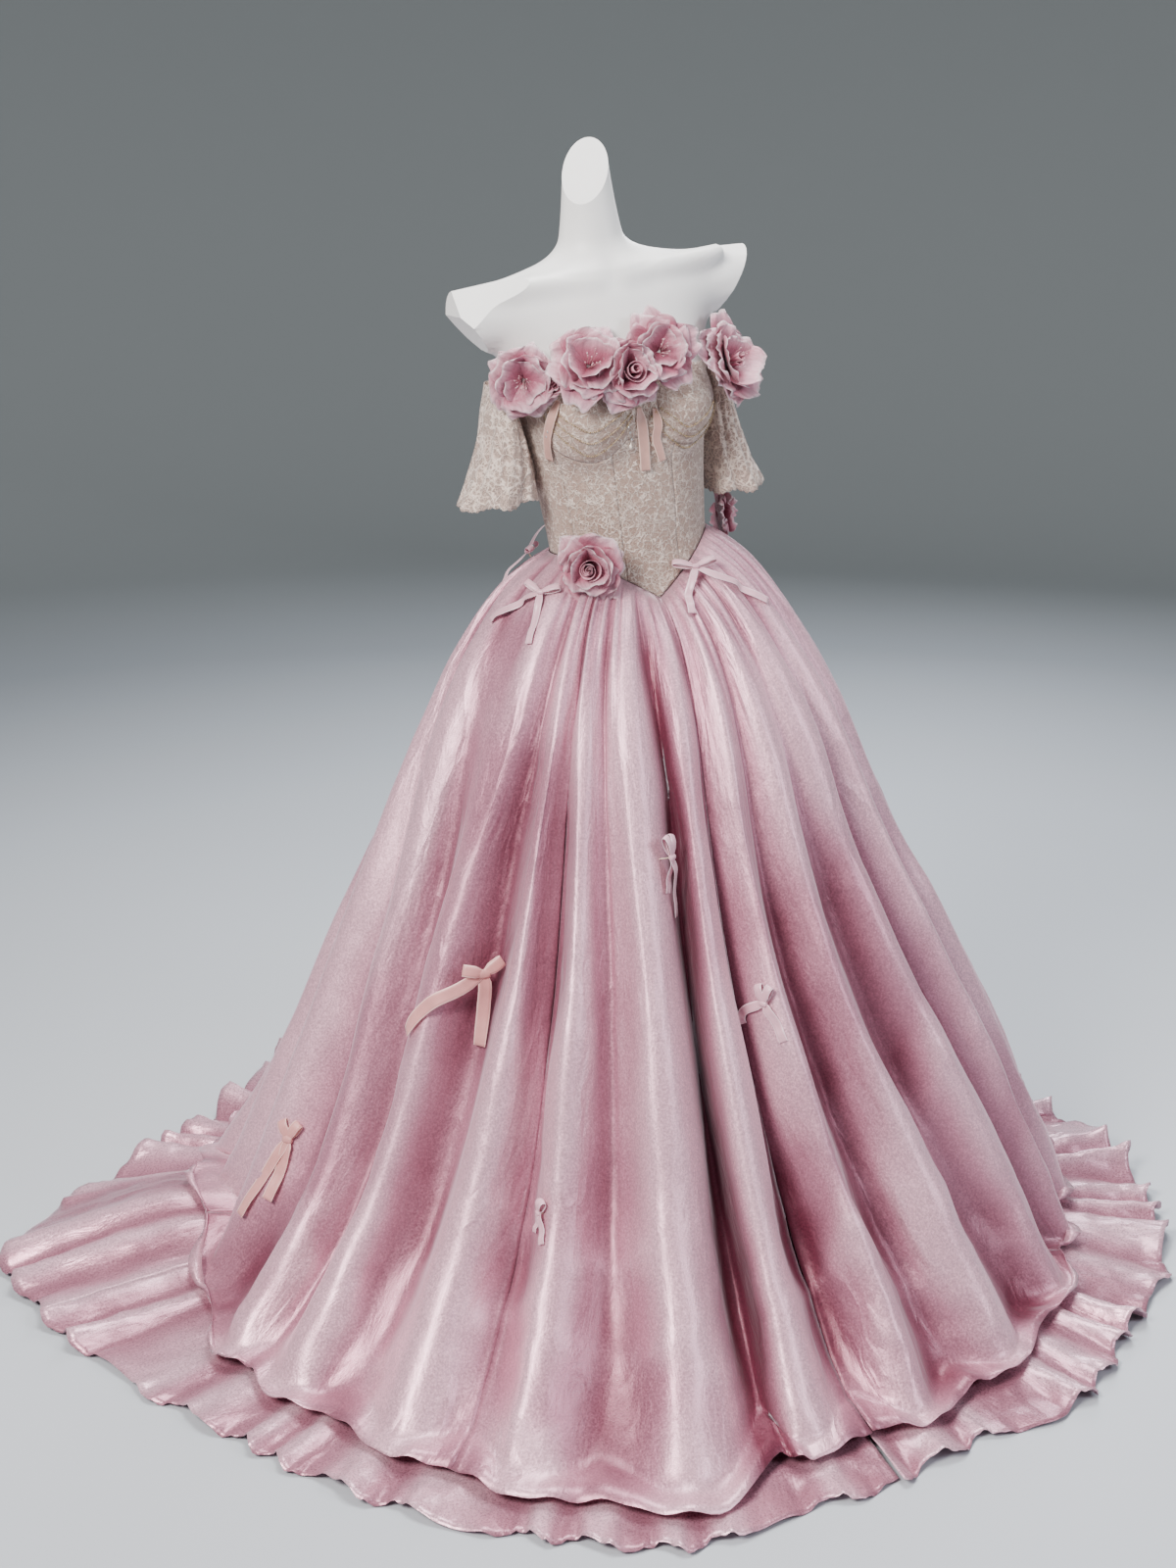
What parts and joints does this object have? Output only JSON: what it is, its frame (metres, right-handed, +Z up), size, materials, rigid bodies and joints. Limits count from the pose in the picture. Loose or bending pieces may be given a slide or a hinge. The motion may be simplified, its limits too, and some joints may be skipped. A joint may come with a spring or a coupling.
{
  "type": "evening gown on a dress form",
  "caption": "Off-shoulder evening gown: fitted lace bodice with pointed waist, bell sleeves, gathered full-length skirt, ruffled train, flowers and bows, on a limbless dress form and stand",
  "frame": {"origin": "middle of the stand's underside, on the floor", "axes": "+Z up, the front of the gown faces -Y, the wearer's left is +X"},
  "size_m": [1.7392, 1.8011, 1.6069],
  "materials": {
    "form": "smooth matt white",
    "stand": "smooth painted",
    "lace": "champagne lace over a nude ground",
    "skirt_satin": "glossy satin organza",
    "underlayer": "glossy satin with a sheer ruffled edge",
    "petals": "sheer organza and satin petals",
    "satin_ribbon": "satin ribbon",
    "organza_ribbon": "sheer organza ribbon"
  },
  "bodies": {
    "root": {"bodice_back_left": "lace", "bodice_back_placket": "lace", "bodice_back_right": "lace", "bodice_bridge": "lace", "bodice_cup_left": "lace", "bodice_cup_right": "lace", "bodice_front_centre": "lace", "bodice_front_left": "lace", "bodice_front_right": "lace", "bodice_side_left": "lace", "bodice_side_right": "lace", "bow_skirt_fold": "satin_ribbon", "bow_skirt_front": "satin_ribbon", "bow_skirt_hem": "satin_ribbon", "bow_skirt_organza_1": "organza_ribbon", "bow_skirt_organza_2": "organza_ribbon", "bow_waist_back": "satin_ribbon", "bow_waist_left": "satin_ribbon", "bow_waist_right": "satin_ribbon", "dress_form": "form", "flounce_back_left": "underlayer", "flounce_back_right": "underlayer", "flounce_front_left": "underlayer", "flounce_front_right": "underlayer", "flower_neck_1": "petals", "flower_neck_2": "petals", "flower_neck_3": "petals", "flower_neck_4": "petals", "flower_neck_5": "petals", "flower_neck_bud": "petals", "flower_waist_front": "petals", "flower_waist_side": "petals", "skirt_gore_back_centre": "skirt_satin", "skirt_gore_back_left": "skirt_satin", "skirt_gore_back_right": "skirt_satin", "skirt_gore_front_left": "skirt_satin", "skirt_gore_front_right": "skirt_satin", "skirt_gore_side_left": "skirt_satin", "skirt_gore_side_right": "skirt_satin", "sleeve_left": "lace", "sleeve_right": "lace", "stand_base": "stand", "stand_pole": "stand", "streamer_centre": "organza_ribbon", "streamer_centre_2": "organza_ribbon", "streamer_right": "organza_ribbon", "underskirt_left": "underlayer", "underskirt_right": "underlayer"}
  },
  "joints": []
}
